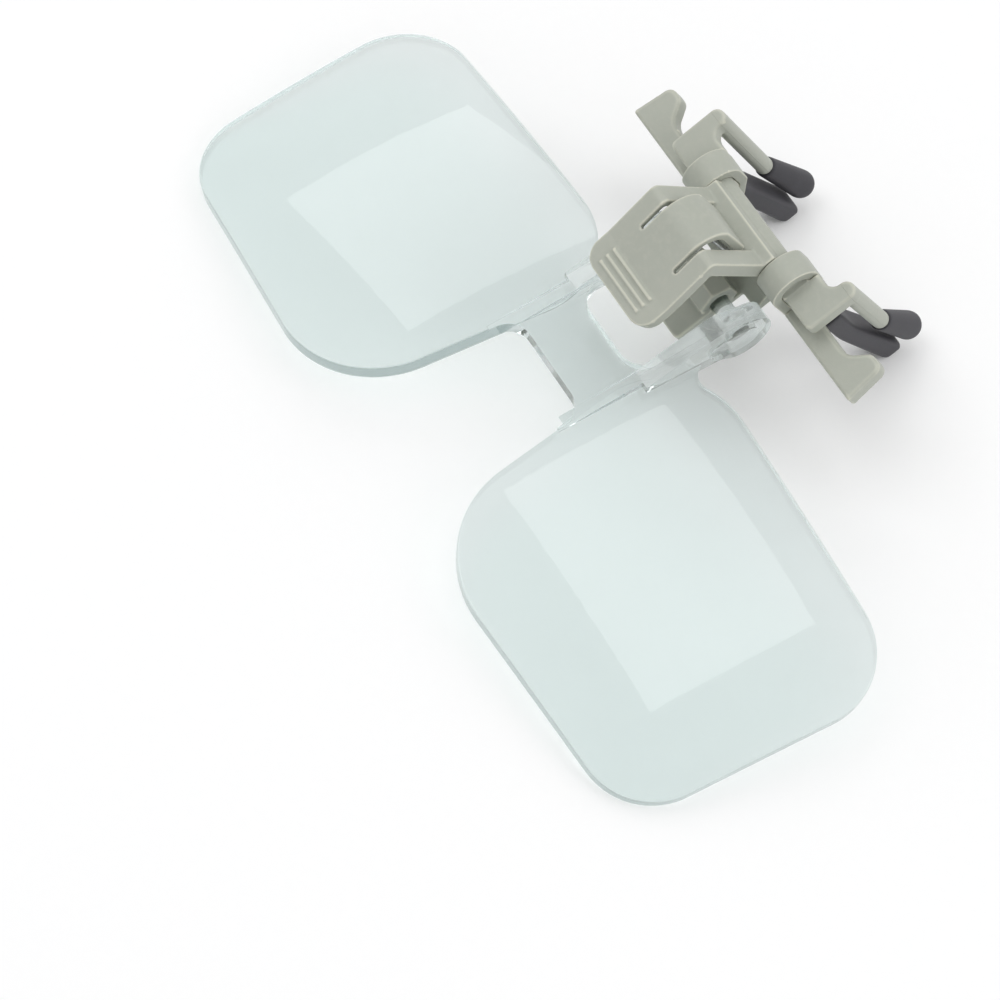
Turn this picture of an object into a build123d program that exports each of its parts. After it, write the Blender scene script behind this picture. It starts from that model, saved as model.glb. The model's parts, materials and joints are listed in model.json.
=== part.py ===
from build123d import *
from math import atan2, cos, degrees, hypot, pi, radians, sin, sqrt, tan
import os

# Clip on eyeglass loupe: a clear double lens that flips up on a sprung clip.
# The clip is modelled as it is worn: X to the wearer's left, Y back towards the
# face, Z up, with the flip axis of the lenses on the X axis.
# The lens moulding is modelled flat in its own frame: X across, Y from the
# bottom of the lenses to the flip axis, Z out of the front of the lenses.
# Lengths are millimetres and angles are degrees.

# General clearances and the overrun of every cut
overrun = 1.0
running_gap = 0.08
side_gap = 0.1
seat_gap = 0.1

# Lens outline, before its corners are rounded
lens_top_gap = 12.0
lens_bottom_gap = 22.0
lens_top_width = 53.9
lens_bottom_width = 46.1
lens_inner_height = 44.8
lens_outer_height = 40.8
lens_outer_rise = 1.1
top_inner_radius = 11.7
top_outer_radius = 10.3
bottom_inner_radius = 14.3
bottom_outer_radius = 10.0

# Lens thickness and its two curved faces
lens_edge_thickness = 2.4
lens_front_radius = 230.0
lens_back_radius = 800.0
lens_edge_softening = 0.35
wrap_angle = 7.1
wrap_line = 8.5

# Bridge between the lenses
bridge_bottom = 4.8
bridge_height = 8.5
bridge_thickness = 2.2
bridge_sink = 0.5
bridge_lower_radius = 3.2
bridge_upper_radius = 3.6

# Ears that carry the lenses on the clip
flip_axis_height = 28.75
flip_axis_rise = 0.3
ear_inner = 7.1
ear_thickness = 2.9
ear_hub_radius = 4.0
ear_arch_height = 4.9
ear_arch_back = 6.3
ear_rib_thickness = 1.9
ear_rib_rise = 0.8
ear_web_length = 4.6
ear_web_radius = 2.2
ear_pocket_width = 4.2
ear_pocket_length = 3.4
ear_pocket_depth = 0.7
pin_radius = 1.3
pin_tip = 1.4
pin_collar_radius = 2.1
pin_collar_length = 0.9

# Angle between the lenses and the level clip, as it lies with the lenses up
flip_up_angle = 25.0

# Hinge barrel and pinch plate of the clip base
barrel_length = 7.4
barrel_flats = 5.2
barrel_sides = 6
plate_width = 8.4
plate_front = 7.5
plate_thickness = 1.8
plate_corner = 0.8
web_width = 13.7
web_crest = 7.7
web_fall = 31.0
web_thickness = 2.0
foot_front = 1.7
foot_thickness = 0.9
foot_sink = 0.3

# Bar across the clip, with a hook at each end
bar_front = 5.9
bar_depth = 3.3
bar_top = 0.5
bar_thickness = 3.0
bar_length = 51.2
bar_edge = 0.35
hook_reach = 2.8
hook_width = 2.4
hook_lean = 0.7
hook_notch = 2.0
hook_tip_radius = 1.15
hook_notch_radius = 2.2

# Lever shaft and the snap-on caps that hold it on the bar
shaft_up = 4.6
shaft_radius = 2.07
cap_wall = 1.35
cap_length = 3.9
cap_inner_end = 6.95
cap_leg_kink = 1.7
cap_tooth_depth = 1.9
cap_tooth_width = 0.7
cap_lip = 0.6
cap_lip_reach = 0.55
pedestal_land = 0.9

# Front prongs and their flat rubber sleeves
prong_offset = 12.6
prong_width = 2.8
prong_root_thickness = 1.7
prong_root_width = 3.2
front_sleeve_width = 4.4
front_sleeve_front = 8.8
front_sleeve_back = 11.7
front_sleeve_bend = 10.5
front_sleeve_tip = 28.2
front_sleeve_swell = 0.35
front_sleeve_corner = 0.8
front_sleeve_wall = 0.8
front_tip_radius = 1.5
jaw_lean = 8.2
jaw_bend_radius = 22.0
jaw_gap = 0.25

# Rear rods and their round rubber sleeves
rod_radius = 1.25
rod_back = 14.5
rod_top_offset = 15.15
rod_tip_offset = 13.97
rod_shoulder = 15.2
rod_core_radius = 0.8
rod_core_inset = 1.2
rear_sleeve_mouth = 1.5
rear_sleeve_radius = 2.1
rear_sleeve_offset = 13.1
rear_sleeve_end = 25.9

# Grip plate of the lever, seen from the side
grip_front = 8.9
grip_front_up = 16.45
grip_break_back = 4.3
grip_break_up = 17.0
ridge_back = 4.1
ridge_up = 19.3
heel_back = 8.3
heel_up = 8.3
ridge_radius = 1.0
grip_width = 13.7
grip_wall = 1.2
skirt_depth = 2.2
grip_corner = 2.6
crossbar_width = 1.6

# Window and tongue of the lever
window_width = 8.2
window_front = 0.6
tongue_width = 7.0
tongue_radius = 4.15
tongue_slot = 0.5
tongue_wall = 1.2

# Finger ribs on the grip plate
rib_count = 3
rib_pitch = 1.15
rib_width = 0.45
rib_height = 0.35
rib_length = 8.8
rib_front_margin = 1.5

# Tabs that carry the rods out over the bar
tab_top = 5.0
tab_thickness = 2.6
tab_front = 7.5
tab_back = 12.9
tab_side = 16.4
tab_corner = 0.8
tab_elbow = 1.2
tab_notch_radius = 1.5
tab_edge = 0.45
shaft_flat_up = 0.5

# Torsion spring under the tongue
wire_radius = 0.4
coil_radius = 1.95
coil_pitch = 1.35
coil_turns = 3
coil_steps_per_turn = 2
leg_length = 9.0
spring_points = 600

# Halvings in the search for the rest pose
tilt_steps = 20

# Places that follow from the sizes above
bar_back = bar_front + bar_depth
bar_bottom = bar_top - bar_thickness
cap_bore = shaft_radius + running_gap
cap_radius = cap_bore + cap_wall
shaft_back = bar_front + cap_radius
cap_outer_end = cap_inner_end + cap_length
grip_half = grip_width / 2
foot_low = foot_sink - barrel_flats / 2 - foot_thickness
foot_top = foot_low + foot_thickness
jaw_slope = tan(radians(jaw_lean))
front_jaw_face = front_sleeve_back + (rear_sleeve_end - front_sleeve_bend) * jaw_slope
rear_sleeve_back = front_jaw_face + jaw_gap + rear_sleeve_radius / cos(radians(jaw_lean))


def both_sides(shape):
    """The shape and its mirror image across the middle of the loupe."""
    return [shape, mirror(shape, about=Plane.YZ)]


def side_plane(x):
    """A sketch plane at x whose own X runs back and whose own Y runs up."""
    return Plane(origin=(x, 0, 0), x_dir=(0, 1, 0), z_dir=(1, 0, 0))


def side_solid(face, low, high):
    """A side profile, drawn as back and up, made solid from x = low to high."""
    return extrude(side_plane(low) * face, amount=high - low)


def rounded_face(points, rounds):
    """A closed outline with one corner radius for each point."""
    return make_face(FilletPolyline(*points, radius=rounds, close=True))


def sharp_face(points):
    """A closed outline with sharp corners."""
    return make_face(Polyline(*points, close=True))


def flat_box(low, high):
    """A box between two opposite corners."""
    size = [b - a for a, b in zip(low, high)]
    centre = [(a + b) / 2 for a, b in zip(low, high)]
    return Pos(*centre) * Box(*size)


def inset(points, depth):
    """An open side profile moved square to itself by depth, corners mitred."""
    lines = []
    for (y0, z0), (y1, z1) in zip(points, points[1:]):
        run = hypot(y1 - y0, z1 - z0)
        away = ((z1 - z0) / run * depth, -(y1 - y0) / run * depth)
        lines.append(((y0 + away[0], z0 + away[1]), (y1 - y0, z1 - z0)))
    moved = [lines[0][0]]
    for ((ay, az), (au, aw)), ((by, bz), (bu, bw)) in zip(lines, lines[1:]):
        along = ((by - ay) * bw - (bz - az) * bu) / (au * bw - aw * bu)
        moved.append((ay + au * along, az + aw * along))
    (ly, lz), (lu, lw) = lines[-1]
    moved.append((ly + lu, lz + lw))
    return moved


# Lens moulding

def lens_corners():
    """The four corners of the right lens, clockwise from the bottom inner one."""
    half = lens_inner_height / 2
    outer_half = lens_outer_height / 2
    bottom_inner = (lens_bottom_gap / 2, -half)
    top_inner = (lens_top_gap / 2, half)
    top_outer = (lens_top_gap / 2 + lens_top_width, lens_outer_rise + outer_half)
    bottom_outer = (lens_bottom_gap / 2 + lens_bottom_width, lens_outer_rise - outer_half)
    return [bottom_inner, top_inner, top_outer, bottom_outer]


def lens_outline():
    """The right lens seen from the front, with the web that runs up to the ear."""
    rounds = [bottom_inner_radius, top_inner_radius, top_outer_radius, bottom_outer_radius]
    lens = rounded_face(lens_corners(), rounds)
    web_top = lens_inner_height / 2 + ear_web_length - ear_arch_back / 2
    web_low = bridge_bottom + bridge_height
    web_left = wrap_line
    web_right = ear_inner + ear_thickness
    web = sharp_face([(web_left, web_low), (web_right, web_low),
                      (web_right, web_top), (web_left, web_top)])
    whole = lens + web
    meeting = whole.vertices().filter_by_position(Axis.X, web_right - side_gap, web_right + side_gap)
    corner = meeting.sort_by(Axis.Y)[0]
    return fillet(corner, ear_web_radius)


def lens_blank():
    """The right lens: its outline cut by the curved front and back faces."""
    corners = lens_corners()
    middle = sum(x for x, y in corners) / len(corners)
    reach = lens_bottom_width / 2
    front_sag = lens_front_radius - sqrt(lens_front_radius**2 - reach**2)
    back_sag = lens_back_radius - sqrt(lens_back_radius**2 - reach**2)
    front_top = lens_edge_thickness / 2 + front_sag
    back_top = -lens_edge_thickness / 2 + back_sag
    tall = lens_edge_thickness + front_sag
    prism = extrude(lens_outline(), amount=tall, both=True)
    front = Pos(middle, 0, front_top - lens_front_radius) * Sphere(lens_front_radius)
    back = Pos(middle, 0, back_top - lens_back_radius) * Sphere(lens_back_radius)
    lens = (prism & front) - back
    rim = lens.faces().sort_by(Axis.Z)[-1].outer_wire().edges()
    return fillet(rim, lens_edge_softening)


def wrapped(shape):
    """A flat right lens turned back about the wrap line, as it wraps the face."""
    return Pos(wrap_line, 0, 0) * Rot(0, wrap_angle, 0) * Pos(-wrap_line, 0, 0) * shape


def bridge():
    """The flat strip between the lenses, with its rounded inside corners."""
    top = bridge_bottom + bridge_height
    reach = wrap_line + bridge_sink
    lens = lens_outline()
    strip = sharp_face([(-reach, bridge_bottom), (reach, bridge_bottom), (reach, top), (-reach, top)])
    ear_root = sharp_face([(ear_inner, bridge_bottom), (reach, bridge_bottom),
                           (reach, flip_axis_height - ear_arch_back),
                           (ear_inner, flip_axis_height - ear_arch_back)])
    plan = strip
    for part in both_sides(lens) + both_sides(ear_root):
        plan = plan + part
    for level, radius in ((bridge_bottom, bridge_lower_radius), (top, bridge_upper_radius)):
        corners = [v for v in plan.vertices()
                   if abs(v.Y - level) < side_gap and abs(v.X) < ear_inner + overrun]
        plan = fillet(corners, radius)
    low = bridge_bottom - bridge_lower_radius - overrun
    high = top + bridge_upper_radius + overrun
    window = sharp_face([(-reach, low), (reach, low), (reach, high), (-reach, high)])
    return extrude(plan & window, amount=bridge_thickness / 2, both=True)


def ear_profile():
    """The ear from the side: a blade that arches up from the bridge to the hub."""
    axis = (flip_axis_height, flip_axis_rise)
    arch = (flip_axis_height - ear_arch_back, ear_arch_height)
    root_top = bridge_thickness / 2 + ear_rib_rise
    root = (bridge_bottom + bridge_height, root_top)
    heel = (bridge_bottom + bridge_height, -bridge_thickness / 2)
    belly = (flip_axis_height - ear_hub_radius, -bridge_thickness / 2 - ear_rib_rise)
    hub_top = (flip_axis_height, flip_axis_rise + ear_hub_radius)
    hub_low = (flip_axis_height, flip_axis_rise - ear_hub_radius)
    blade = make_face([
        Line(heel, root),
        Line(root, arch),
        TangentArc(arch, hub_top, tangent=(ear_arch_back, ear_arch_height - root_top)),
        Line(hub_top, hub_low),
        Line(hub_low, belly),
        Line(belly, heel),
    ])
    return blade + Pos(*axis) * Circle(ear_hub_radius)


def ear():
    """One ear with its hinge pin, its collar, its rib and its outer pocket."""
    axis = (flip_axis_height, flip_axis_rise)
    outer = ear_inner + ear_thickness
    blade = side_solid(ear_profile(), ear_inner, outer)
    rib_end = bridge_bottom + bridge_height + overrun
    rib_low = bridge_thickness / 2 - side_gap
    rib_face = sharp_face([(bridge_bottom - bridge_lower_radius, rib_low), (rib_end, rib_low),
                           (rib_end, bridge_thickness / 2 + ear_rib_rise)])
    rib = side_solid(rib_face, ear_inner, ear_inner + ear_rib_thickness)
    pin = side_solid(Pos(*axis) * Circle(pin_radius), pin_tip, ear_inner + overrun)
    collar = side_solid(Pos(*axis) * Circle(pin_collar_radius), ear_inner - pin_collar_length,
                        ear_inner + overrun)
    pocket_face = Pos(axis[0] - ear_pocket_length / 2, axis[1]) * SlotCenterToCenter(
        ear_pocket_length, ear_pocket_width)
    pocket = side_solid(pocket_face, outer - ear_pocket_depth, outer + overrun)
    return blade + rib + pin + collar - pocket


def lens_pair():
    """Both lenses, bridge, ears and hinge pins: one clear moulding."""
    half = wrapped(lens_blank()) + ear()
    whole = bridge()
    for part in both_sides(half):
        whole = whole + part
    return whole


# Clip base

def base_bar():
    """Right half of the bar, with the hook that stands back at its end."""
    end = bar_length / 2
    tip = bar_back + hook_reach
    plan = rounded_face(
        [(cap_outer_end, bar_front), (end, bar_front), (end - hook_lean, tip),
         (end - hook_lean - hook_width, tip), (end - hook_lean - hook_width - hook_notch, bar_back),
         (cap_outer_end, bar_back)],
        [0, bar_edge, hook_tip_radius, hook_tip_radius, hook_notch_radius, 0])
    bar = Pos(0, 0, bar_bottom) * extrude(plan, amount=bar_thickness)
    rims = bar.edges().filter_by_position(Axis.X, cap_outer_end + side_gap, end + overrun)
    return chamfer(rims.group_by(Axis.Z)[-1], bar_edge)


def pedestal():
    """Right bearing seat of the shaft, under its cap, seen from the side."""
    front = bar_front + cap_wall + side_gap / 2
    back = shaft_back + cap_bore - side_gap / 2
    top = shaft_up - pedestal_land
    face = sharp_face([(front, bar_bottom), (bar_back, bar_bottom), (back, cap_leg_kink),
                       (back, top), (front, top)])
    block = side_solid(face, cap_inner_end, cap_outer_end)
    groove = side_solid(Pos(shaft_back, shaft_up) * Circle(cap_bore), 0, cap_outer_end + overrun)
    return block - groove


def front_jaw_profile(margin, top):
    """Side profile of the front jaw, drawn in from its rubber by a margin."""
    front = front_sleeve_front + margin
    back = front_sleeve_back - margin
    tip = margin - front_sleeve_tip
    shift = (front_sleeve_tip - front_sleeve_bend) * jaw_slope
    rounding = front_tip_radius - margin
    return rounded_face(
        [(front, top), (back, top), (back, -front_sleeve_bend), (back + shift, tip),
         (front + shift - front_sleeve_swell, tip), (front, -front_sleeve_bend)],
        [0, 0, jaw_bend_radius, rounding, rounding, jaw_bend_radius])


def front_prong():
    """Right front prong with the root that joins it to the bar."""
    top = bar_top - prong_root_thickness / 2
    half = prong_width / 2
    profile = front_jaw_profile(front_sleeve_wall, top)
    core = side_solid(profile, prong_offset - half, prong_offset + half)
    root = flat_box(
        (prong_offset - prong_root_width / 2, bar_back - bar_edge, bar_top - prong_root_thickness),
        (prong_offset + prong_root_width / 2, front_sleeve_back - front_sleeve_wall, bar_top - bar_edge))
    return core + root


def barrel():
    """The faceted hinge barrel, before its ends are bored."""
    hexagon = RegularPolygon(barrel_flats / 2, barrel_sides, major_radius=False)
    across = Rot(0, 0, 180 / barrel_sides) * hexagon
    return side_solid(across, -barrel_length / 2, barrel_length / 2)


def web_top(back):
    """Height of the top of the web where it falls forward from the bar."""
    return bar_top - (web_crest - back) * tan(radians(web_fall))


def web_profile():
    """The web from the side: level on the bar, then falling forward to a foot."""
    fall = tan(radians(web_fall))
    under = bar_top - web_thickness / cos(radians(web_fall))
    front = web_crest - (bar_top - foot_top) / fall
    bend = web_crest - (under - foot_low) / fall
    low = web_crest - (under - bar_bottom) / fall
    return sharp_face([(bar_back, bar_top), (web_crest, bar_top), (front, foot_top), (front, foot_low),
                       (bend, foot_low), (low, bar_bottom), (bar_back, bar_bottom)])


def clip_base():
    """Bar, hooks, bearing seats, front prongs, pinch plate and bored barrel."""
    half_plate = plate_width / 2
    plan = rounded_face(
        [(-half_plate, -plate_front), (half_plate, -plate_front), (half_plate, 0), (-half_plate, 0)],
        [plate_corner, plate_corner, 0, 0])
    plate = Pos(0, 0, bar_top - plate_thickness) * extrude(plan, amount=plate_thickness)
    web = side_solid(web_profile(), -web_width / 2, web_width / 2)
    foot = flat_box((-barrel_length / 2, -foot_front, foot_low),
                    (barrel_length / 2, web_crest - web_thickness, foot_top))
    step = flat_box((-cap_inner_end, bar_front + cap_wall + side_gap / 2, bar_bottom),
                    (cap_inner_end, bar_back, bar_top))
    bore = side_solid(Circle(pin_radius + running_gap), pin_tip - seat_gap, barrel_length)
    whole = plate + web + foot + step + barrel()
    for cut in both_sides(bore):
        whole = whole - cut
    for part in both_sides(base_bar() + pedestal() + front_prong()):
        whole = whole + part
    return whole


def bearing_cap():
    """Right snap-on cap: an arch over the shaft with a tooth on its back leg."""
    front = bar_front
    back = shaft_back + cap_radius
    tooth = bar_bottom + cap_tooth_width
    outer = make_face([
        Line((front, bar_bottom - cap_lip), (front, shaft_up)),
        ThreePointArc((front, shaft_up), (shaft_back, shaft_up + cap_radius), (back, shaft_up)),
        Line((back, shaft_up), (back, cap_leg_kink)),
        Line((back, cap_leg_kink), (bar_back + cap_tooth_depth, tooth)),
        Line((bar_back + cap_tooth_depth, tooth), (bar_back, tooth)),
        Line((bar_back, tooth), (front + cap_wall + cap_lip_reach, bar_bottom - cap_lip)),
        Line((front + cap_wall + cap_lip_reach, bar_bottom - cap_lip), (front, bar_bottom - cap_lip)),
    ])
    inner_front = front + cap_wall
    inner_back = shaft_back + cap_bore
    floor = bar_bottom - side_gap / 2
    below = bar_bottom - cap_lip - overrun
    inner = sharp_face([
        (inner_front, floor), (inner_front, shaft_up), (inner_back, shaft_up),
        (inner_back, cap_leg_kink), (bar_back + side_gap, floor), (bar_back + side_gap, below),
        (inner_front + cap_lip_reach, below), (inner_front + cap_lip_reach, floor)])
    profile = outer - inner - Pos(shaft_back, shaft_up) * Circle(cap_bore)
    return side_solid(profile, cap_inner_end, cap_outer_end)


def front_sleeve():
    """Right front sleeve: a flat rubber boot with a rounded tip."""
    half = front_sleeve_width / 2
    profile = front_jaw_profile(0, bar_bottom - seat_gap)
    boot = side_solid(profile, prong_offset - half, prong_offset + half)
    below = [e for e in boot.edges() if e.center().Z < bar_bottom - seat_gap - overrun]
    rims = [e for e in below if abs(abs(e.center().X - prong_offset) - half) < side_gap]
    return fillet(rims, front_sleeve_corner) - front_prong()


# Lever

def grip_profile():
    """Outer line of the grip, from its front edge over the ridge to the heel."""
    return [(-grip_front, grip_front_up), (-grip_break_back, grip_break_up),
            (ridge_back, ridge_up), (heel_back, heel_up)]


def grip_shell():
    """Grip plate and legs with side skirts, open underneath."""
    outer = grip_profile()
    deep = inset(outer, skirt_depth)
    under = inset(outer, grip_wall)
    below = inset(outer, skirt_depth + overrun)
    band = sharp_face(outer + deep[::-1])
    shell = side_solid(band, -grip_half, grip_half)
    front = -grip_front + grip_wall
    hollow_face = sharp_face(under + below[::-1])
    hollow = side_solid(hollow_face, -grip_half + grip_wall, grip_half - grip_wall)
    keep_front = flat_box((-grip_half, -grip_front - overrun, 0), (grip_half, front, ridge_up))
    shell = shell - (hollow - keep_front)
    ridge = shell.edges().filter_by(Axis.X).sort_by(Axis.Z)[-1]
    shell = fillet(ridge, ridge_radius)
    corners = shell.edges().sort_by(Axis.Y)
    upright = [e for e in corners if abs(e.center().Y + grip_front) < overrun
               and abs(abs(e.center().X) - grip_half) < side_gap and e.length > grip_wall
               and abs((e @ 0).X - (e @ 1).X) < side_gap and e.length < skirt_depth + overrun]
    return fillet(upright, grip_corner)


def heel():
    """Crossbar at the back of the lever and the web down to the shaft."""
    outer = grip_profile()
    leg_end = inset(outer, skirt_depth)[-1]
    crossbar_end = (heel_back + crossbar_width, heel_up)
    behind = (shaft_back + shaft_radius / 2, shaft_up + shaft_radius / 2)
    ahead = (shaft_back - shaft_radius + side_gap, shaft_up)
    face = sharp_face([leg_end, outer[-1], crossbar_end, behind, (shaft_back, shaft_up), ahead])
    return side_solid(face, -grip_half, grip_half)


def tongue_slope():
    """Rise of the grip plate behind its break, as an angle."""
    (gy, gz), (ry, rz) = grip_profile()[1:3]
    return atan2(rz - gz, ry - gy)


def tongue_hub():
    """Centre of the tongue's arc, seen from the side."""
    slope = tongue_slope()
    hub_y = heel_back - tongue_slot - tongue_radius
    line_z = ridge_up + (hub_y - ridge_back) * tan(slope)
    return (hub_y, line_z - tongue_radius / cos(slope))


def tongue():
    """The arched tongue over the spring, joined to the grip at its front."""
    slope = tongue_slope()
    hub = tongue_hub()
    normal = (-sin(slope), cos(slope))
    inner = tongue_radius - tongue_wall
    start_y = -window_front - overrun
    start = (start_y, ridge_up + (start_y - ridge_back) * tan(slope))
    start_low = (start[0] - normal[0] * tongue_wall, start[1] - normal[1] * tongue_wall)
    end_up = heel_up + tongue_slot
    mid = (pi / 2 + slope) / 2

    def on_arc(radius, angle):
        return (hub[0] + radius * cos(angle), hub[1] + radius * sin(angle))

    top_out = on_arc(tongue_radius, pi / 2 + slope)
    top_in = on_arc(inner, pi / 2 + slope)
    side_out = on_arc(tongue_radius, 0)
    side_in = on_arc(inner, 0)
    face = make_face([
        Line(start, top_out),
        ThreePointArc(top_out, on_arc(tongue_radius, mid), side_out),
        Line(side_out, (side_out[0], end_up)),
        Line((side_out[0], end_up), (side_in[0], end_up)),
        Line((side_in[0], end_up), side_in),
        ThreePointArc(side_in, on_arc(inner, mid), top_in),
        Line(top_in, start_low),
        Line(start_low, start),
    ])
    return side_solid(face, -tongue_width / 2, tongue_width / 2)


def grip_ribs():
    """Raised finger ribs across the front of the grip plate."""
    (fy, fz), (gy, gz) = grip_profile()[:2]
    slope = atan2(gz - fz, gy - fy)
    ribs = []
    for i in range(rib_count):
        y = fy + rib_front_margin + i * rib_pitch
        z = fz + (y - fy) * tan(slope)
        rib = Box(rib_length, rib_width, rib_height * 2)
        ribs.append(Pos(0, y, z) * Rot(degrees(slope), 0, 0) * rib)
    return ribs


def rod_start():
    """Top of the right rod, inside its tab."""
    return Vector(rod_top_offset, rod_back, tab_top - tab_edge)


def rod_end():
    """Middle of the right rod's shoulder, where its sleeve starts."""
    return Vector(rod_tip_offset, rod_back, -rod_shoulder)


def rear_jaw_line():
    """Direction and length of the right rear jaw, from the shoulder down."""
    along = Vector(rear_sleeve_offset, rear_sleeve_back, -rear_sleeve_end) - rod_end()
    return along.normalized(), along.length


def rod_core():
    """The thin end of the right rod, inside its sleeve."""
    way, length = rear_jaw_line()
    depth = length - rod_core_inset
    core = Pos(0, 0, depth / 2 - rod_core_radius / 2) * Cylinder(rod_core_radius, depth + rod_core_radius)
    return Plane(origin=rod_end(), z_dir=way) * core


def tab_and_rod():
    """Right end of the shaft, the tab over the bar and the rod down from it."""
    inner = cap_outer_end + side_gap
    rod_inner = rod_top_offset - rod_radius
    corner_back = rod_back + rod_radius
    plan = rounded_face(
        [(inner, tab_front), (tab_side, tab_front), (tab_side, corner_back), (rod_inner, corner_back),
         (rod_inner, tab_back), (inner, tab_back)],
        [0, tab_corner, tab_elbow, tab_elbow, tab_notch_radius, 0])
    tab = Pos(0, 0, tab_top - tab_thickness) * extrude(plan, amount=tab_thickness)
    rims = tab.edges().filter_by_position(Axis.X, inner + side_gap, tab_side + overrun)
    tab = fillet(rims.group_by(Axis.Z)[-1], tab_edge)
    run = rod_end() - rod_start()
    rod = Pos(0, 0, run.length / 2) * Cylinder(rod_radius, run.length)
    return tab + Plane(origin=rod_start(), z_dir=run) * rod + rod_core()


def shaft():
    """The lever's shaft, flatted where it leaves the caps."""
    end = cap_outer_end + 2 * side_gap
    bar = Pos(0, shaft_back, shaft_up) * Rot(0, 90, 0) * Cylinder(shaft_radius, end * 2)
    reach = shaft_radius + overrun
    flat = flat_box(
        (cap_outer_end - cap_wall / 2, shaft_back - reach, shaft_up + shaft_flat_up),
        (end + overrun, shaft_back + reach, shaft_up + reach))
    for cut in both_sides(flat):
        bar = bar - cut
    return bar


def thumb_lever():
    """Grip, tongue, crossbar, shaft, tabs and rods: one moulding."""
    window = flat_box((-window_width / 2, -window_front, heel_up),
                      (window_width / 2, heel_back, ridge_up + overrun))
    whole = grip_shell() - window + tongue() + heel() + shaft()
    for rib in grip_ribs():
        whole = whole + rib
    for part in both_sides(tab_and_rod()):
        whole = whole + part
    return whole


def rear_sleeve():
    """Right rear sleeve: a round rubber boot that swells to a domed end."""
    way, length = rear_jaw_line()
    taper = (rear_sleeve_radius - rear_sleeve_mouth) / length
    start_radius = rear_sleeve_mouth - taper * rod_radius
    body = Cone(start_radius, rear_sleeve_radius, length + rod_radius)
    boot = Plane(origin=rod_end(), z_dir=way) * (Pos(0, 0, (length - rod_radius) / 2) * body)
    boot = boot + Pos(*(rod_end() + way * length)) * Sphere(rear_sleeve_radius)
    rod = rod_start() - rod_end()
    above = Pos(0, 0, rod.length / 2 - seat_gap) * Box(rod.length, rod.length, rod.length)
    return boot - rod_core() - Plane(origin=rod_end(), z_dir=rod) * above


# Torsion spring

def biarc(start, start_way, end, end_way):
    """Two tangent arcs from one point and direction to another."""
    gap = end - start
    both = start_way + end_way
    spread = 2 * (1 - start_way.dot(end_way))
    reach = (-gap.dot(both) + sqrt(gap.dot(both)**2 + spread * gap.dot(gap))) / spread
    first = start + start_way * reach
    last = end - end_way * reach
    joint = (first + last) / 2
    return [TangentArc(start, joint, tangent=start_way), TangentArc(joint, end, tangent=last - first)]


def torsion_spring():
    """One wire: a leg under the grip, the coil, and a leg down to the base."""
    slope = tongue_slope()
    hub = tongue_hub()
    line_drop = tongue_wall + seat_gap + wire_radius + coil_radius
    centre_y = hub[0]
    centre_z = hub[1] + (tongue_radius - line_drop) / cos(slope)
    start_angle = pi / 2 + slope
    sweep_angle = start_angle + 2 * pi * coil_turns
    steps = coil_turns * coil_steps_per_turn + 1
    length = coil_pitch * sweep_angle / (2 * pi)

    def coil_point(turned):
        angle = start_angle - turned
        return Vector(length * (turned / sweep_angle - 1 / 2),
                      centre_y + coil_radius * cos(angle), centre_z + coil_radius * sin(angle))

    def coil_way(turned):
        angle = start_angle - turned
        climb = coil_pitch / (2 * pi) if 0 < turned < sweep_angle else 0
        return Vector(climb, coil_radius * sin(angle), -coil_radius * cos(angle)).normalized()

    turns = [sweep_angle * i / steps for i in range(steps + 1)]
    turns[-1] = sweep_angle
    first = coil_point(0) - coil_way(0) * leg_length
    foot_point = coil_point(sweep_angle)
    last = Vector(foot_point.X, foot_point.Y, web_top(foot_point.Y + wire_radius) + seat_gap)
    edges = [Line(first, coil_point(0))]
    for a, b in zip(turns, turns[1:]):
        edges += biarc(coil_point(a), coil_way(a), coil_point(b), coil_way(b))
    edges.append(Line(coil_point(sweep_angle), last))
    path = Wire([e.edge() if hasattr(e, "edge") else e for e in edges])
    section = Plane(origin=first, z_dir=coil_way(0))
    wire = sweep(section * Circle(wire_radius), path=path)
    print("spring least gap to itself", round(least_gap(path), 3))
    return wire


def least_gap(path):
    """Smallest clear gap between turns of the wire, measured on points."""
    points = [path.position_at(i / spring_points) for i in range(spring_points + 1)]
    step = path.length / spring_points
    skip = int(pi * coil_radius / step)
    least = min((points[i] - points[j]).length
                for i in range(len(points)) for j in range(i + skip, len(points)))
    return least - 2 * wire_radius


# Rest pose: how the loupe lies on a table with its lenses flipped up

def lens_to_clip(shape):
    """Carry a shape from the lens frame to the clip frame."""
    return Rot(-flip_up_angle, 0, 0) * Pos(0, -flip_axis_height, -flip_axis_rise) * shape


def lowest(shape, tilt):
    """Lowest point of a shape when the clip is tilted about the flip axis."""
    return (Rot(tilt, 0, 0) * shape).bounding_box().min.Z


def rest_tilt(front, rear):
    """Tilt at which the lenses and the jaws stand on one level."""
    low = flip_up_angle
    high = 2 * flip_up_angle
    for _ in range(tilt_steps):
        middle = (low + high) / 2
        if lowest(front, middle) > lowest(rear, middle):
            low = middle
        else:
            high = middle
    return (low + high) / 2


def build():
    """Every sub-part, placed as the loupe lies on a table."""
    lenses = lens_to_clip(lens_pair())
    parts = {"lens_pair": lenses, "clip_base": clip_base(), "thumb_lever": thumb_lever(),
             "torsion_spring": torsion_spring()}
    pairs = {"bearing_cap": bearing_cap(), "front_sleeve": front_sleeve(), "rear_sleeve": rear_sleeve()}
    for name, shape in pairs.items():
        left, right = both_sides(shape)
        parts[name + "_right"] = right
        parts[name + "_left"] = left
    tilt = rest_tilt(lenses, parts["front_sleeve_left"])
    tilted = {name: Rot(tilt, 0, 0) * shape for name, shape in parts.items()}
    box = Compound(list(tilted.values())).bounding_box()
    shift = Pos(0, -(box.min.Y + box.max.Y) / 2, -box.min.Z)
    placed = {name: shift * shape for name, shape in tilted.items()}
    return placed, tilt, shift


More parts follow.
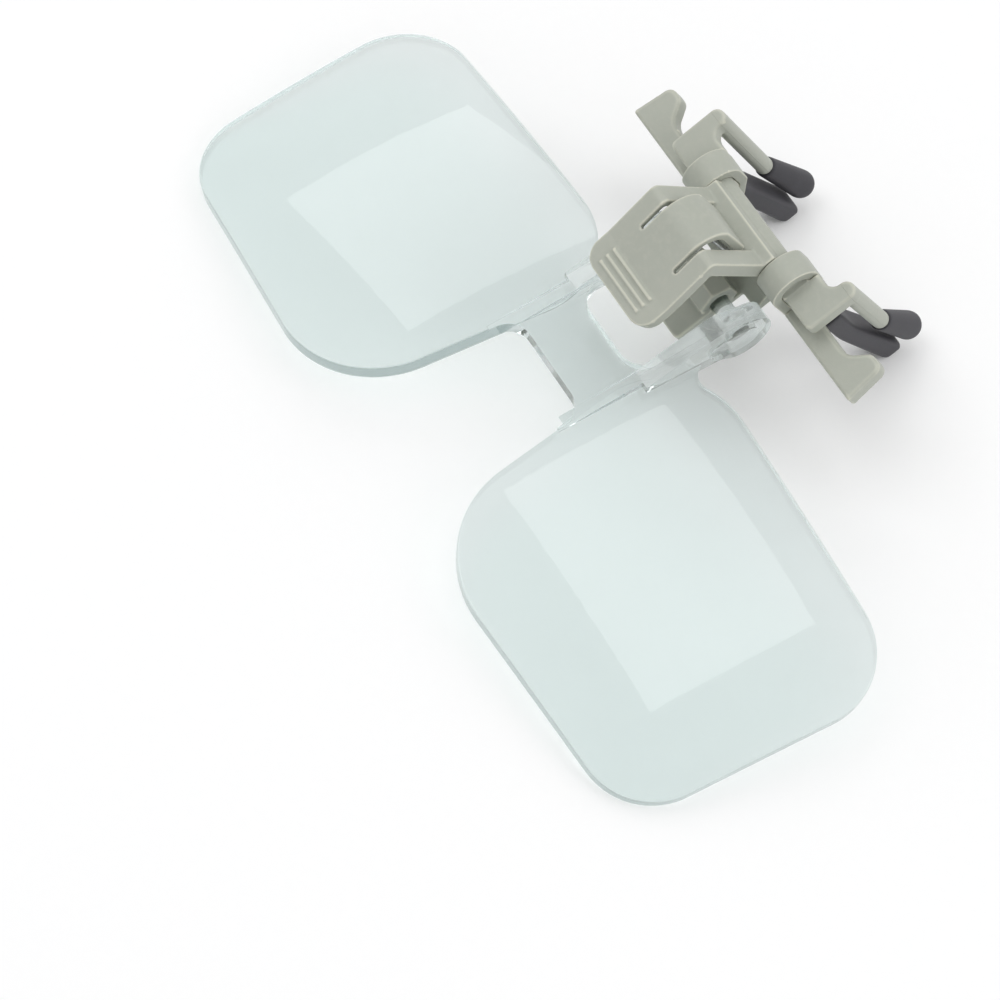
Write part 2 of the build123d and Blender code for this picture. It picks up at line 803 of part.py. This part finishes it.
def main():
    os.makedirs("parts", exist_ok=True)
    placed, tilt, shift = build()
    for name, shape in placed.items():
        export_step(shape, f"parts/{name}.step")
    print("rest tilt", round(tilt, 3), "shift", shift.position)


main()
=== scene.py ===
import json
import math

import bpy
from mathutils import Matrix, Vector


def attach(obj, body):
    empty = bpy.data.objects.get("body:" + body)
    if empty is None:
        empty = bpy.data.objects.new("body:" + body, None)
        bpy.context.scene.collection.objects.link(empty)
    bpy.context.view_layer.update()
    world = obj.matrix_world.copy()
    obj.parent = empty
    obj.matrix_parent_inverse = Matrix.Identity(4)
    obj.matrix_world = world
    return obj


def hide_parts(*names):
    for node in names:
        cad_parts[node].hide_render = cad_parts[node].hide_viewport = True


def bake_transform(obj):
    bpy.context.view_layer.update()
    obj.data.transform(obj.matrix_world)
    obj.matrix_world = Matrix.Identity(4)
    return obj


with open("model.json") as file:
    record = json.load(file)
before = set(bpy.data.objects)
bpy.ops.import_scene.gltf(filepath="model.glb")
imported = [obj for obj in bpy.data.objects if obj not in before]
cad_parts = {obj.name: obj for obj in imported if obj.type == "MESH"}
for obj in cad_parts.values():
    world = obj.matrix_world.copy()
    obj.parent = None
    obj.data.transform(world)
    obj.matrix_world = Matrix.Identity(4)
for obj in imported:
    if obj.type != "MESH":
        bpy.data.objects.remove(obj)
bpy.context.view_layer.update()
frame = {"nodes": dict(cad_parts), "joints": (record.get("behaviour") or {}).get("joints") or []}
mm = 0.001


# Camera
# The loupe lies flipped up on a table and is seen from above its left front.
# A long lens keeps both lens outlines nearly as they are in plan.
aim = Vector((10.32, -26.74, 2.21)) * mm
view_azimuth = math.radians(42.68)
view_elevation = math.radians(58.09)
view_distance = 426.4 * mm
view_roll = math.radians(17.73)
film_width = 36
focal_length = 117.96
nearest_seen = 10 * mm
furthest_seen = 10
out_of_table = math.cos(view_elevation)
back = Vector((math.sin(view_azimuth) * out_of_table,
               -math.cos(view_azimuth) * out_of_table, math.sin(view_elevation)))
camera = bpy.data.objects.new("camera", bpy.data.cameras.new("camera"))
bpy.context.scene.collection.objects.link(camera)
camera.data.sensor_width = film_width
camera.data.lens = focal_length
camera.data.clip_start = nearest_seen
camera.data.clip_end = furthest_seen
level = (-back).to_track_quat("-Z", "Y").to_matrix().to_4x4()
rolled = level @ Matrix.Rotation(view_roll, 4, "Z")
camera.matrix_world = Matrix.Translation(aim + back * view_distance) @ rolled
bpy.context.scene.camera = camera


# Clear lens moulding
# Both lenses, the bridge between them and the two hinge ears are one piece of
# clear acrylic, injection moulded, with polished lens faces and soft edges.
ear_sides = (7.1 * mm, 10.0 * mm)
ear_edge = 0.45 * mm
front_radius = 230 * mm
back_radius = 800 * mm
lens_edge = 2.4 * mm
lens_middle = 33.5 * mm
lens_reach = 23.05 * mm
rim_from = 11.5 * mm
wrap_line = 8.5 * mm
wrap_angle = math.radians(7.1)
lens_tilt = math.radians(10.902)
flip_in_lens = Vector((0, 28.75, 0.3)) * mm
flip_place = Vector(next(j for j in frame["joints"] if j["name"] == "lens_flip")["pos_m"])
weld_gap = 0.001 * mm
on_plane = 0.02 * mm
square_on = 0.999
on_sphere = 0.004 * mm
plate_facing = 0.98
rim_facing = 0.35
sharp_corner = math.radians(50)
soft_corner = math.radians(38)
ear_outside = (10.1 * mm, 10.4 * mm)
ear_start = (-8 * mm, 0)
ear_clear = 0.24
last_bounces = (4.4, 4.6)
acrylic_tint = (0.75, 0.797, 0.793, 1)
deep_tint = (0.76, 0.81, 0.805, 1)
ear_tint = (0.93, 0.95, 0.94, 1)
shadow_tint = (0.83, 0.86, 0.85, 1)
dust_tint = (0.9, 0.9, 0.88, 1)


class Shade:
    """One socket of a material's nodes, so that shader maths reads as plain maths."""

    def __init__(self, tree, socket=None):
        self.tree = tree
        self.socket = socket

    def node(self, kind, settings, values, output=0):
        """Add a node, set it up, feed its sockets and give one of its outputs."""
        made = self.tree.nodes.new(kind)
        for key, value in settings.items():
            setattr(made, key, value)
        for key, value in values.items():
            if isinstance(value, Shade):
                self.tree.links.new(value.socket, made.inputs[key])
            else:
                made.inputs[key].default_value = value
        return Shade(self.tree, made.outputs[output])

    def maths(self, operation, *values):
        """A Math node on these values."""
        return self.node("ShaderNodeMath", {"operation": operation}, dict(enumerate(values)))

    def size(self):
        """The value without its sign."""
        return self.maths("ABSOLUTE", self)

    def __add__(self, other):
        return self.maths("ADD", self, other)

    def __radd__(self, other):
        return self.maths("ADD", other, self)

    def __sub__(self, other):
        return self.maths("SUBTRACT", self, other)

    def __rsub__(self, other):
        return self.maths("SUBTRACT", other, self)

    def __mul__(self, other):
        return self.maths("MULTIPLY", self, other)

    def band(self, low, high):
        """0 below low, 1 above high, and a smooth rise between them."""
        return self.node("ShaderNodeMapRange", {"interpolation_type": "SMOOTHSTEP"},
                         {"Value": self, "From Min": low, "From Max": high})

    def mixed(self, first, second):
        """A colour that goes from first to second as this value goes from 0 to 1."""
        made = self.tree.nodes.new("ShaderNodeMix")
        made.data_type = "RGBA"
        self.tree.links.new(self.socket, made.inputs["Factor"])
        for slot, colour in ((6, first), (7, second)):
            if isinstance(colour, Shade):
                self.tree.links.new(colour.socket, made.inputs[slot])
            else:
                made.inputs[slot].default_value = (*colour, 1)
        return Shade(self.tree, made.outputs[2])


def finish(name, **constants):
    """A new material: its start for shader maths, its shader node and its output node."""
    made = bpy.data.materials.new(name)
    made.use_nodes = True
    shader = made.node_tree.nodes["Principled BSDF"]
    for key, value in constants.items():
        shader.inputs[key.replace("_", " ")].default_value = value
    return made, Shade(made.node_tree), shader, made.node_tree.nodes["Material Output"]


def link(shade, socket):
    """Feed a socket of the shader or of the output node from this value."""
    shade.tree.links.new(shade.socket, socket)


def grain(start, size, detail=3.0, stretch=(1, 1, 1)):
    """Noise on the piece itself, with marks about as large as size."""
    spot = start.node("ShaderNodeTexCoord", {}, {}, "Object")
    spread = start.node("ShaderNodeMapping", {}, {"Vector": spot, "Scale": stretch})
    marks = {"Vector": spread, "Scale": 1 / size, "Detail": detail}
    return start.node("ShaderNodeTexNoise", {}, marks)


def relief(start, strength, depth, height):
    """Small relief on the surface, as deep as depth where height goes from 0 to 1."""
    values = {"Strength": strength, "Distance": depth, "Height": height}
    return start.node("ShaderNodeBump", {}, values)


def overlaid(start, share, under, over):
    """Two surface shaders in one: under where share is 0, over where it is 1."""
    return start.node("ShaderNodeMixShader", {}, {0: share, 1: under, 2: over})


def clear_film(start, tint):
    """A surface that light goes straight through, with a tint."""
    return start.node("ShaderNodeBsdfTransparent", {}, {"Color": tint})


def flecks(start, spacing, radius, share):
    """Small round flecks: one in this share of the cells of a scattered pattern."""
    spot = start.node("ShaderNodeTexCoord", {}, {}, "Object")
    cells = {"Vector": spot, "Scale": 1 / spacing, "Randomness": 1.0}
    gap = start.node("ShaderNodeTexVoronoi", {"feature": "F1"}, cells, "Distance")
    pick = start.node("ShaderNodeTexVoronoi", {"feature": "F1"}, cells, "Color")
    chosen = start.node("ShaderNodeSeparateColor", {}, {"Color": pick}, 0)
    rim = radius / spacing
    core = rim * 0.6
    barely = 0.01
    return (1 - gap.band(core, rim)) * chosen.band(1 - share, 1 - share + barely)


def cad_copy(node, name):
    """A copy of a CAD node's mesh as one closed skin, on an object of its own."""
    made = bpy.data.objects.new(name, frame["nodes"][node].data.copy())
    bpy.context.scene.collection.objects.link(made)
    made.data.materials.clear()
    bpy.ops.object.select_all(action="DESELECT")
    made.select_set(True)
    bpy.context.view_layer.objects.active = made
    bpy.ops.object.mode_set(mode="EDIT")
    bpy.ops.mesh.select_all(action="SELECT")
    bpy.ops.mesh.remove_doubles(threshold=weld_gap)
    bpy.ops.mesh.customdata_custom_splitnormals_clear()
    bpy.ops.object.mode_set(mode="OBJECT")
    return made


clear, start, shader, out = finish(
    "clear_acrylic", Base_Color=acrylic_tint, Transmission_Weight=1, IOR=1.49)
haze = grain(start, size=6 * mm)
hairlines = grain(start, size=1.2 * mm, detail=2.0, stretch=(1, 0.03, 1)).band(0.63, 0.7)
dust = flecks(start, spacing=2.6 * mm, radius=0.07 * mm, share=0.28)
link(0.012 + haze * 0.02 + hairlines * 0.03 + dust * 0.3, shader.inputs["Roughness"])
waver = relief(start, strength=0.02, depth=0.1 * mm, height=grain(start, size=3 * mm))
link(waver, shader.inputs["Normal"])
speck = start.node("ShaderNodeBsdfDiffuse", {}, {"Color": dust_tint})
body = overlaid(start, dust * 0.35, Shade(start.tree, shader.outputs[0]), speck)
place = start.node("ShaderNodeTexCoord", {}, {}, "Object")
across = start.node("ShaderNodeSeparateXYZ", {}, {"Vector": place}, 0)
along = start.node("ShaderNodeSeparateXYZ", {}, {"Vector": place}, 1)
ears = (1 - across.size().band(*ear_outside)) * along.band(*ear_start)
body = overlaid(start, ears * ear_clear, body, clear_film(start, ear_tint))
# Light still inside after four bounces is let out, where the renderer would end it.
bounces = start.node("ShaderNodeLightPath", {}, {}, "Ray Depth")
body = overlaid(start, bounces.band(*last_bounces), body, clear_film(start, deep_tint))
in_shadow = start.node("ShaderNodeLightPath", {}, {}, "Is Shadow Ray")
body = overlaid(start, in_shadow, body, clear_film(start, shadow_tint))
link(body, out.inputs["Surface"])

lenses = cad_copy("lens_pair", "lens_moulding")
bpy.ops.object.mode_set(mode="EDIT")
bpy.ops.mesh.select_all(action="DESELECT")
bpy.ops.object.mode_set(mode="OBJECT")
for face in lenses.data.polygons:
    on_side = any(abs(abs(face.center.x) - side) < on_plane for side in ear_sides)
    face.select = on_side and abs(face.normal.x) > square_on
bpy.ops.object.mode_set(mode="EDIT")
bpy.ops.mesh.dissolve_limited(angle_limit=math.radians(1), delimit=set())
bpy.ops.mesh.select_all(action="DESELECT")
bpy.ops.mesh.select_mode(type="EDGE")
bpy.ops.mesh.edges_select_sharp(sharpness=sharp_corner)
bpy.ops.object.mode_set(mode="OBJECT")
for edge in lenses.data.edges:
    ends = [abs(lenses.data.vertices[v].co.x) for v in edge.vertices]
    on_side = any(all(abs(end - side) < on_plane for end in ends) for side in ear_sides)
    edge.select = edge.select and on_side
bpy.ops.object.mode_set(mode="EDIT")
bpy.ops.mesh.bevel(offset=ear_edge, segments=3, affect="EDGES", clamp_overlap=True)
bpy.ops.object.mode_set(mode="OBJECT")
bpy.ops.object.shade_smooth_by_angle(angle=soft_corner)
even = lenses.modifiers.new("even", "WEIGHTED_NORMAL")
even.weight = 90
even.keep_sharp = True
bpy.ops.object.modifier_apply(modifier="even")
# The mesh only comes near the two spheres of each lens, so its normals come from them.
on_lens = (Matrix.Translation(flip_place) @ Matrix.Rotation(lens_tilt, 4, "X")
           @ Matrix.Translation(-flip_in_lens))
turned_back = (Matrix.Translation((wrap_line, 0, 0)) @ Matrix.Rotation(wrap_angle, 4, "Y")
               @ Matrix.Translation((-wrap_line, 0, 0)))
skin = [Vector(normal.vector) for normal in lenses.data.corner_normals]
faces_of_lens = ((front_radius, lens_edge / 2, 1), (back_radius, -lens_edge / 2, -1))
for radius, edge, outwards in faces_of_lens:
    rise = radius - math.sqrt(radius ** 2 - lens_reach ** 2)
    for mirror in (1, -1):
        middle = turned_back @ Vector((lens_middle, 0, edge + rise - radius))
        middle = on_lens @ Vector((middle.x * mirror, middle.y, middle.z))
        for face in lenses.data.polygons:
            spots = [lenses.data.vertices[v].co - middle for v in face.vertices]
            facing = face.normal.dot(spots[0].normalized()) * outwards
            reached = [abs(spot.length - radius) < on_sphere for spot in spots]
            on_plate = facing > plate_facing and all(reached)
            on_rim = facing > rim_facing and abs(face.center.x) > rim_from
            if on_plate or on_rim:
                for loop, spot, there in zip(face.loop_indices, spots, reached):
                    if there:
                        skin[loop] = spot.normalized() * outwards
lenses.data.normals_split_custom_set(skin)
lenses.data.materials.append(clear)
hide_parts("lens_pair")
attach(lenses, "lenses")


# Clip base
# One grey nylon moulding: the bar with a hook at each end, the front prongs, the
# pinch plate and the barrel of the lens hinge. Its edges are softly rounded.
clip_tilt = math.radians(35.902)
on_clip = Matrix.Translation(flip_place) @ Matrix.Rotation(clip_tilt, 4, "X")
bar_parting = -1.0 * mm
fine_voxel = 0.17 * mm
edge_rounds = 3
seam_half = (0.04 * mm, 0.09 * mm)
rod_side = (11.6 * mm, 12 * mm)
rod_back = (12.8 * mm, 13.2 * mm)
rod_top = (3 * mm, 3.6 * mm)
edge_highlight_band = (0.505, 0.55)
nylon_dark = (0.407, 0.426, 0.371)
nylon_grey = (0.43, 0.448, 0.39)
nylon_light = (0.44, 0.454, 0.396)
nylon_edge_highlight = (0.61, 0.61, 0.52)
grime_brown = (0.16, 0.16, 0.14)


def moulded(node, name, voxel):
    """A CAD node as a soft-edged moulding, remeshed square to the clip."""
    piece = cad_copy(node, name)
    piece.data.transform(on_clip.inverted())
    skin = piece.modifiers.new("skin", "REMESH")
    skin.mode = "VOXEL"
    skin.voxel_size = voxel
    skin.use_smooth_shade = True
    bpy.ops.object.modifier_apply(modifier="skin")
    ease = piece.modifiers.new("ease", "SMOOTH")
    ease.factor = 0.5
    ease.iterations = edge_rounds
    bpy.ops.object.modifier_apply(modifier="ease")
    piece.data.transform(on_clip)
    bpy.ops.object.shade_smooth()
    return piece


def nylon(name, seam_axis, seam_at):
    """Grey nylon as it comes from the mould, with a seam on one plane of the clip and a painted
    highlight along its most convex edges.
    """
    made, start, shader, out = finish(
        name, Subsurface_Weight=0.12, Subsurface_Radius=(1, 1, 0.8), Subsurface_Scale=0.8 * mm,
        Specular_IOR_Level=0.45)
    flow = grain(start, size=9 * mm, detail=2.0, stretch=(1, 0.4, 0.4))
    mottle = grain(start, size=0.8 * mm, detail=4.0)
    satin = grain(start, size=0.09 * mm, detail=2.0)
    tone = flow.band(0.3, 0.7).mixed(nylon_dark, nylon_grey)
    tone = mottle.band(0.4, 0.8).mixed(tone, nylon_light)
    grime = flecks(start, spacing=1.7 * mm, radius=0.08 * mm, share=0.12)
    tone = (grime * 0.35).mixed(tone, grime_brown)
    link(0.42 + mottle * 0.16 + satin * 0.05, shader.inputs["Roughness"])
    spot = start.node("ShaderNodeTexCoord", {}, {}, "Object")
    turned = start.node("ShaderNodeMapping", {"vector_type": "TEXTURE"},
                        {"Vector": spot, "Location": flip_place, "Rotation": (clip_tilt, 0, 0)})
    sides = [start.node("ShaderNodeSeparateXYZ", {}, {"Vector": turned}, axis) for axis in range(3)]
    rods = sides[0].size().band(*rod_side) * sides[1].band(*rod_back) * (1 - sides[2].band(*rod_top))
    point = start.node("ShaderNodeNewGeometry", {}, {}, "Pointiness")
    # Painted highlight: the most convex edges are made paler by pointiness, except on the rods.
    tone = (point.band(*edge_highlight_band) * (1 - rods)).mixed(tone, nylon_edge_highlight)
    link(tone, shader.inputs["Base Color"])
    seam = 1 - (sides[seam_axis] - seam_at).size().band(*seam_half)
    height = satin * 0.012 + mottle * 0.03 + seam * 0.03
    link(relief(start, strength=1.0, depth=1 * mm, height=height), shader.inputs["Normal"])
    return made


base_finish = nylon("nylon_base", seam_axis=2, seam_at=bar_parting)
clip_base = moulded("clip_base", "base_moulding", fine_voxel)
clip_base.data.materials.append(base_finish)
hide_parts("clip_base")
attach(clip_base, "base")


# Thumb lever
# One grey nylon moulding: the ribbed grip with its arched tongue, the crossbar,
# the shaft that turns on the base, and the two rods that carry the rear sleeves.
lever_parting = 14.5 * mm
lever_finish = nylon("nylon_lever", seam_axis=1, seam_at=lever_parting)
lever = moulded("thumb_lever", "lever_moulding", fine_voxel)
lever.data.materials.append(lever_finish)
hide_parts("thumb_lever")
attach(lever, "lever")


# Bearing caps
# Two short grey arches snapped over the lever's shaft from the back of the bar.
# Each is a moulding of its own, with a hooked tooth under the bar.
cap_parting = 14.2 * mm
cap_voxel = 0.12 * mm
cap_finish = nylon("nylon_cap", seam_axis=1, seam_at=cap_parting)
for side in ("left", "right"):
    cap = moulded("bearing_cap_" + side, "cap_moulding_" + side, cap_voxel)
    cap.data.materials.append(cap_finish)
    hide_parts("bearing_cap_" + side)
    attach(cap, "base")


# Torsion spring
# Drawn steel wire, wound in three turns under the tongue, with one leg under
# the grip and the other down on the base.
steel_dark = (0.42, 0.42, 0.43)
steel_pale = (0.62, 0.62, 0.61)
steel, start, shader, out = finish("spring_wire", Metallic=1)
drawn = grain(start, size=0.25 * mm)
link(drawn.band(0.35, 0.7).mixed(steel_dark, steel_pale), shader.inputs["Base Color"])
link(0.24 + drawn * 0.2, shader.inputs["Roughness"])
link(relief(start, strength=0.2, depth=0.02 * mm, height=drawn), shader.inputs["Normal"])
spring = cad_copy("torsion_spring", "coil_spring")
bpy.ops.object.shade_smooth_by_angle(angle=sharp_corner)
spring.data.materials.append(steel)
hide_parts("torsion_spring")
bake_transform(spring)


# Front sleeves
# Flat boots of soft dark rubber pushed up over the front prongs, moulded with a
# rounded tip and a rolled lip at the mouth. Each ring has its height, half its width
# and what is trimmed off its front and back, in mm in the clip's frame.
rubber_dark = (0.04, 0.039, 0.046)
rubber_pale = (0.063, 0.061, 0.071)
lint_grey = (0.3, 0.3, 0.3)
front_middle = 12.6
front_low = 8.8
front_high = 11.7
front_bend = -10.5
front_run = 17.7
front_swell = 0.35
front_lean = math.tan(math.radians(8.2))
front_corner = 0.42
front_lip = ((-2.62, 1.9, 0.25), (-2.68, 2.08, 0.08), (-2.95, 2.2, 0))
front_length = ((-4.5, 2.2, 0.02), (-8.5, 2.17, 0.05), (-10.5, 2.17, 0.05), (-14, 2.18, 0.03),
                (-19, 2.2, 0), (-24, 2.2, 0), (-26.6, 2.2, 0))
front_tip = ((-27.3, 2.13, 0.17), (-27.8, 1.95, 0.5), (-28.1, 1.65, 0.95))
rubber, start, shader, out = finish("sleeve_rubber", Specular_IOR_Level=0.35, Sheen_Weight=0.04)
clouds = grain(start, size=3 * mm)
pores = grain(start, size=0.22 * mm)
powder = clouds.band(0.4, 0.75) * pores.band(0.3, 0.7)
lint = flecks(start, spacing=1.5 * mm, radius=0.05 * mm, share=0.2)
tone = (lint * 0.5).mixed(powder.mixed(rubber_dark, rubber_pale), lint_grey)
link(tone, shader.inputs["Base Color"])
link(0.5 + pores * 0.14 + powder * 0.1, shader.inputs["Roughness"])
skin = relief(start, strength=0.5, depth=0.05 * mm, height=pores + clouds * 0.5)
link(skin, shader.inputs["Normal"])

front_rings = []
for up, half_wide, trim in front_lip + front_length + front_tip:
    below_bend = max(0, front_bend - up)
    low_edge = front_low + below_bend * front_lean - front_swell * below_bend / front_run + trim
    high_edge = front_high + below_bend * front_lean - trim
    middle = (front_middle, (low_edge + high_edge) / 2, up)
    front_rings.append((middle, (half_wide, (high_edge - low_edge) / 2)))


def boot(name, corner, rings):
    """A rubber boot drawn down ring by ring from its mouth, by the middle and half size of each."""
    bpy.ops.object.select_all(action="DESELECT")
    bpy.ops.mesh.primitive_plane_add(size=2 * mm)
    piece = bpy.context.object
    piece.name = name
    bpy.ops.object.mode_set(mode="EDIT")
    bpy.ops.mesh.select_all(action="SELECT")
    bpy.ops.mesh.bevel(offset=corner * mm, segments=5, affect="VERTICES", clamp_overlap=False)
    bpy.ops.mesh.remove_doubles(threshold=weld_gap)
    place = Vector((0, 0, 0))
    size = (1, 1)
    for number, (middle, half) in enumerate(rings):
        move = Vector(middle) * mm - place
        if number == 0:
            bpy.ops.transform.translate(value=move)
        else:
            bpy.ops.mesh.extrude_region_move(TRANSFORM_OT_translate={"value": move})
        place = Vector(middle) * mm
        growth = (half[0] / size[0], half[1] / size[1], 1)
        bpy.ops.transform.resize(value=growth, center_override=place)
        size = half
    bpy.ops.mesh.select_all(action="SELECT")
    bpy.ops.mesh.normals_make_consistent(inside=False)
    bpy.ops.object.mode_set(mode="OBJECT")
    soft = piece.modifiers.new("soft", "SUBSURF")
    soft.levels = soft.render_levels = 2
    bpy.ops.object.modifier_apply(modifier="soft")
    bpy.ops.object.shade_smooth()
    return piece


def both_boots(piece, kind, body):
    """Place a boot on the wearer's left, and a copy of it on the right."""
    other = bpy.data.objects.new(kind + "_boot_right", piece.data.copy())
    bpy.context.scene.collection.objects.link(other)
    other.data.transform(Matrix.Scale(-1, 4, (1, 0, 0)))
    other.data.flip_normals()
    piece.name = kind + "_boot_left"
    for made, side in ((piece, "left"), (other, "right")):
        made.data.transform(on_clip)
        made.data.materials.append(rubber)
        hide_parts(kind + "_sleeve_" + side)
        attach(made, body)


both_boots(boot("front_boot", front_corner, front_rings), "front", "base")


# Rear sleeves
# Round boots of the same rubber, pushed over the thin ends of the lever's rods.
# They start flush with the rods and swell to a domed tip. Each ring has its height
# and its radius, in mm in the clip's frame.
rear_mouth = Vector((13.97, 14.5, -15.2))
rear_tip = Vector((13.1, 16.29, -25.9))
rear_lip = ((-15.22, 1.28), (-15.25, 1.4), (-15.4, 1.5), (-16.2, 1.56))
rear_length = ((-19, 1.71), (-22, 1.88), (-24.5, 2.02))
dome_radius = 2.1
dome_rings = 6
dome_step = math.radians(16)
round_corner = 1.0
rear_rings = []
for up, radius in rear_lip + rear_length:
    middle = rear_mouth.lerp(rear_tip, (up - rear_mouth.z) / (rear_tip.z - rear_mouth.z))
    rear_rings.append((middle, (radius, radius)))
for step in range(dome_rings):
    radius = dome_radius * math.cos(step * dome_step)
    drop = dome_radius * math.sin(step * dome_step)
    rear_rings.append((rear_tip - Vector((0, 0, drop)), (radius, radius)))
both_boots(boot("rear_boot", round_corner, rear_rings), "rear", "lever")


# Table top
# A plain pale surface under plain soft studio light: two large softboxes, and
# two weaker ones overhead, whose pale shapes lie in the lenses.
table_size = 4
table_dull = (0.955, 0.957, 0.96)
table_white = (0.97, 0.97, 0.97)
studio_white = (1, 1, 1, 1)
studio_strength = 0.66
top, start, shader, out = finish("table_top", Roughness=0.85)
paper = grain(start, size=1.5 * mm)
link(paper.mixed(table_dull, table_white), shader.inputs["Base Color"])
bpy.ops.object.select_all(action="DESELECT")
bpy.ops.mesh.primitive_plane_add(size=table_size)
table = bpy.context.object
table.name = "table"
table.data.materials.append(top)

world = bpy.data.worlds.new("studio")
bpy.context.scene.world = world
world.use_nodes = True
world.node_tree.nodes["Background"].inputs["Color"].default_value = studio_white
world.node_tree.nodes["Background"].inputs["Strength"].default_value = studio_strength
bpy.context.scene.view_settings.view_transform = "Standard"


def softbox(name, place, size, watts, target=(0, 0, 0)):
    """A large soft lamp at a place, facing the loupe or another target."""
    lamp = bpy.data.lights.new(name, "AREA")
    lamp.shape = "RECTANGLE"
    lamp.size, lamp.size_y = size
    lamp.energy = watts
    holder = bpy.data.objects.new(name, lamp)
    bpy.context.scene.collection.objects.link(holder)
    holder.location = place
    holder.rotation_mode = "QUATERNION"
    holder.rotation_quaternion = (Vector(target) - Vector(place)).to_track_quat("-Z", "Y")


softbox("front_softbox", place=(-0.3, -0.42, 0.85), size=(0.5, 0.5), watts=1.8)
softbox("back_softbox", place=(0.55, 0.45, 0.7), size=(0.5, 0.5), watts=2.05)
softbox("left_softbox", place=(-0.64, 0.13, 0.8), size=(0.39, 0.33), watts=0.7, target=(-0.64, 0.13, 0))
softbox("top_softbox", place=(-0.07, 0.06, 0.8), size=(0.34, 0.24), watts=0.45, target=(-0.07, 0.06, 0))
